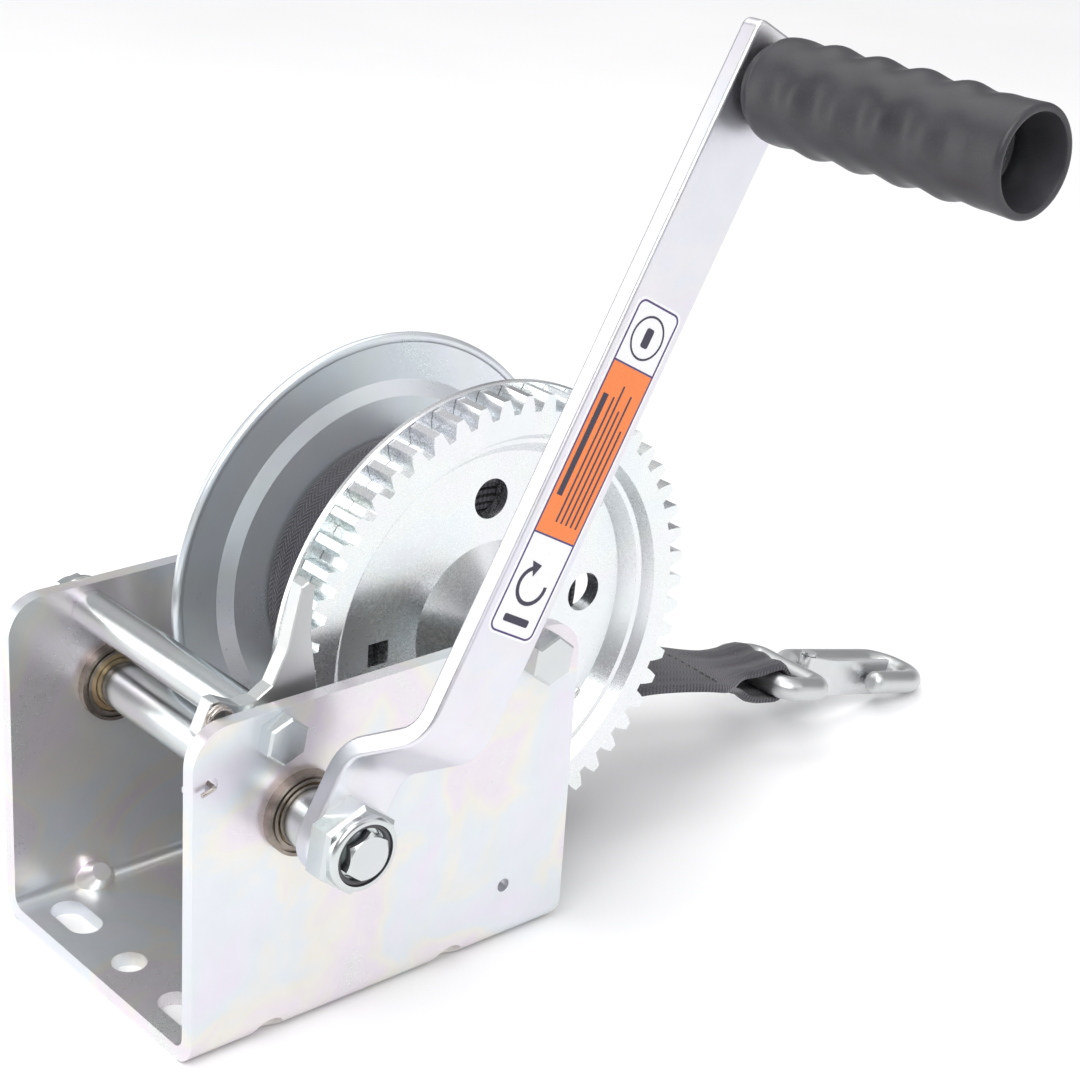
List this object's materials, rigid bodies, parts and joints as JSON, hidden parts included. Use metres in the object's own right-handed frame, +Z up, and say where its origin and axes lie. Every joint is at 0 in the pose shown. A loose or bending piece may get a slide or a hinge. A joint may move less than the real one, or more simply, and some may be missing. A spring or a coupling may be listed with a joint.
{
  "type": "boat trailer winch",
  "caption": "Hand winch in a U channel: crank and pinion turn a dished gear and webbing drum, with a two-way pawl, strap and snap hook.",
  "frame": {"origin": "centre of the channel's flat mounting face", "axes": "+X along the side plates towards the side the strap leaves from, +Y from the crank side to the far plate, +Z up, away from the mounting face"},
  "size_m": [0.3735, 0.2514, 0.2979],
  "materials": {
    "frame_zinc": "bright zinc plate over pressed sheet, faint rainbow passivation",
    "zinc_steel": "bright zinc plate",
    "forged_zinc": "satin zinc plate over a forging",
    "bearing_steel": "turned, oiled steel",
    "weld_metal": "rough weld bead, plated over",
    "spring_steel": "plated spring wire",
    "bronze": "sintered bronze, dull",
    "nylon": "nylon",
    "label": "printed vinyl",
    "grip_rubber": "moulded, matt",
    "webbing": "woven polyester webbing"
  },
  "bodies": {
    "frame": {"channel_frame": "frame_zinc", "near_bearing_race": "bearing_steel", "far_bearing_race": "bearing_steel", "near_bushing": "bronze", "far_bushing": "bronze", "tie_bolt": "zinc_steel", "tie_washer": "zinc_steel", "tie_nut": "zinc_steel", "spacer_tube": "zinc_steel", "pawl_spacer": "zinc_steel", "drum_axle_bolt": "zinc_steel", "drum_axle_washer": "zinc_steel", "drum_axle_nut": "zinc_steel", "drum_axle_sleeve": "zinc_steel", "pawl_spring": "spring_steel", "strap_tail": "webbing", "strap_loop": "webbing"},
    "drum": {"drum_gear": "zinc_steel", "drum_near_disc": "zinc_steel", "drum_far_flange": "zinc_steel", "drum_core": "zinc_steel", "drum_welds": "weld_metal", "strap_anchor_pin": "zinc_steel", "strap_pack": "webbing"},
    "crank": {"pinion": "zinc_steel", "pinion_shaft": "zinc_steel", "shaft_clip": "zinc_steel", "crank_spacer": "zinc_steel", "pinion_thrust_ring": "zinc_steel", "crank_arm": "zinc_steel", "crank_nut": "zinc_steel", "nut_insert": "nylon", "arm_label": "label", "grip_spindle": "zinc_steel", "grip_washer": "zinc_steel"},
    "grip": {"grip": "grip_rubber"},
    "pawl": {"ratchet_pawl": "zinc_steel"},
    "hook": {"hook_body": "forged_zinc", "keeper_pin": "forged_zinc"},
    "keeper": {"hook_keeper": "zinc_steel"}
  },
  "joints": [
    {"name": "drum_spin", "type": "hinge", "parent": "frame", "child": "drum", "pos_m": [0.055, 0, 0.10009], "axis": [0, 1, 0], "continuous": true},
    {"name": "crank_spin", "type": "hinge", "parent": "frame", "child": "crank", "pos_m": [-0.0335, 0, 0.0745], "axis": [0, 1, 0], "continuous": true},
    {"name": "grip_spin", "type": "hinge", "parent": "crank", "child": "grip", "pos_m": [0.08067, -0.14, 0.28047], "axis": [0, 1, 0], "continuous": true},
    {"name": "pawl_flip", "type": "hinge", "parent": "frame", "child": "pawl", "pos_m": [-0.042, -0.041, 0.101], "axis": [0, 1, 0], "range_deg": [-55, 0]},
    {"name": "hook_swing", "type": "hinge", "parent": "frame", "child": "hook", "pos_m": [0.214, 0.0045, 0.027], "axis": [0, 1, 0], "range_deg": [-35, 50]},
    {"name": "keeper_open", "type": "hinge", "parent": "hook", "child": "keeper", "pos_m": [0.24165, 0.0037, 0.01967], "axis": [0.2563, 0, 0.9666], "range_deg": [0, 14], "stiffness_Nm_per_rad": 0.05, "springref_deg": -17.19}
  ],
  "couplings": [
    {"joint": "crank_spin", "follows": "drum_spin", "ratio": -4.1538}
  ]
}
